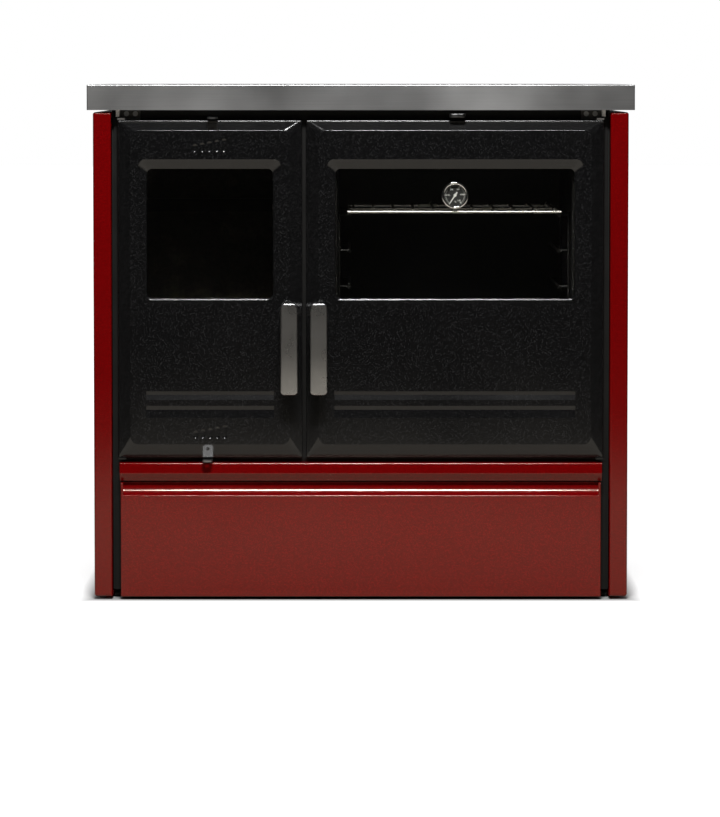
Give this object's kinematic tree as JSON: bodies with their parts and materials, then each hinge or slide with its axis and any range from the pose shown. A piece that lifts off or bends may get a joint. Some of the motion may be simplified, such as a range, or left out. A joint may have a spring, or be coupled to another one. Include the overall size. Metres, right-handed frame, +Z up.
{
  "type": "wood cookstove",
  "caption": "Free-standing wood cookstove: steel worktop with cast hob, glazed firebox and oven doors with lever handles, air and damper tabs, fuel drawer and red side panels.",
  "frame": {"origin": "on the floor, at the middle of the overall box, which runs from the handles to the flue collar", "axes": "+X to the right of someone facing the stove, +Y from its front to its back, +Z up"},
  "size_m": [0.9, 0.66, 0.85],
  "materials": {
    "stainless": "brushed",
    "hob_iron": "satin",
    "red_enamel": "gloss",
    "black_enamel": "gloss",
    "dark_paint": "satin",
    "galvanised": "satin",
    "fire_steel": "matte",
    "firebrick": "matte",
    "oven_enamel": "gloss",
    "bright_wire": "polished",
    "satin_steel": "satin",
    "zinc_steel": "satin",
    "window_glass": "clear",
    "rope": "matte",
    "polished_steel": "polished",
    "dial_black": "matte",
    "needle_white": "matte"
  },
  "bodies": {
    "stove_body": {"worktop_frame": "stainless", "hob_plate": "hob_iron", "firebox_grate": "hob_iron", "flue_collar": "hob_iron", "left_side_panel": "red_enamel", "right_side_panel": "red_enamel", "trim_bar": "red_enamel", "front_frame": "dark_paint", "hinge_brackets": "dark_paint", "levelling_feet": "dark_paint", "base_frame": "dark_paint", "worktop_bearers": "galvanised", "carcass_left_wall": "galvanised", "carcass_right_wall": "galvanised", "carcass_floor": "galvanised", "rear_panel": "galvanised", "drawer_fixed_runners": "galvanised", "ash_pan": "galvanised", "firebox_frame": "fire_steel", "air_manifold": "fire_steel", "firebox_side_bricks": "firebrick", "firebox_rear_brick": "firebrick", "oven_liner": "oven_enamel", "oven_rack": "bright_wire", "oven_side_rails": "bright_wire", "bracket_screws": "zinc_steel", "latch_keepers": "zinc_steel"},
    "firebox_door": {"firebox_door_panel": "black_enamel", "firebox_door_liner": "dark_paint", "firebox_door_gasket": "rope", "firebox_glass": "window_glass", "firebox_glass_clips": "zinc_steel", "firebox_clip_screws": "zinc_steel"},
    "firebox_lever": {"firebox_handle": "satin_steel", "firebox_spindle": "zinc_steel", "firebox_latch_cam": "zinc_steel"},
    "oven_door": {"oven_door_panel": "black_enamel", "oven_door_liner": "dark_paint", "oven_door_gasket": "rope", "oven_glass": "window_glass", "oven_glass_clips": "zinc_steel", "oven_clip_screws": "zinc_steel", "thermometer_case": "polished_steel", "thermometer_dial": "dial_black", "thermometer_lens": "window_glass", "thermometer_nut": "zinc_steel"},
    "oven_lever": {"oven_handle": "satin_steel", "oven_spindle": "zinc_steel", "oven_latch_cam": "zinc_steel"},
    "needle": {"thermometer_needle": "needle_white"},
    "drawer": {"drawer_front": "red_enamel", "drawer_box": "galvanised", "drawer_runners": "galvanised"},
    "secondary_air": {"secondary_air_slide": "satin_steel"},
    "primary_air": {"primary_air_slide": "satin_steel"},
    "damper": {"damper_rod": "fire_steel", "damper_knob": "satin_steel"},
    "ring": {"hob_ring": "hob_iron"},
    "lid": {"hob_lid": "hob_iron"}
  },
  "joints": [
    {"name": "firebox_door_hinge", "type": "hinge", "parent": "stove_body", "child": "firebox_door", "pos_m": [-0.3932, -0.2709, 0.5135], "axis": [0, 0, -1], "range_deg": [0, 95]},
    {"name": "firebox_lever_turn", "type": "hinge", "parent": "firebox_door", "child": "firebox_lever", "pos_m": [-0.1175, -0.288, 0.479], "axis": [0, 1, 0], "range_deg": [0, 75]},
    {"name": "oven_door_hinge", "type": "hinge", "parent": "stove_body", "child": "oven_door", "pos_m": [0.3932, -0.2709, 0.5135], "axis": [0, 0, 1], "range_deg": [0, 95]},
    {"name": "oven_lever_turn", "type": "hinge", "parent": "oven_door", "child": "oven_lever", "pos_m": [-0.069, -0.288, 0.479], "axis": [0, -1, 0], "range_deg": [0, 75]},
    {"name": "thermometer_needle_turn", "type": "hinge", "parent": "oven_door", "child": "needle", "pos_m": [0.1551, -0.28, 0.6685], "axis": [0, 1, 0], "range_deg": [0, 290]},
    {"name": "drawer_slide", "type": "slide", "parent": "stove_body", "child": "drawer", "axis": [0, -1, 0], "range_m": [0, 0.4]},
    {"name": "secondary_air_slide_move", "type": "slide", "parent": "stove_body", "child": "secondary_air", "axis": [1, 0, 0], "range_m": [-0.03, 0.018]},
    {"name": "primary_air_slide_move", "type": "slide", "parent": "stove_body", "child": "primary_air", "axis": [1, 0, 0], "range_m": [-0.021, 0.027]},
    {"name": "damper_pull", "type": "slide", "parent": "stove_body", "child": "damper", "axis": [0, -1, 0], "range_m": [0, 0.07]},
    {"name": "hob_ring_lift", "type": "slide", "parent": "stove_body", "child": "ring", "axis": [0, 0, 1], "range_m": [0, 0.06]},
    {"name": "hob_lid_lift", "type": "slide", "parent": "ring", "child": "lid", "axis": [0, 0, 1], "range_m": [0, 0.06]}
  ]
}
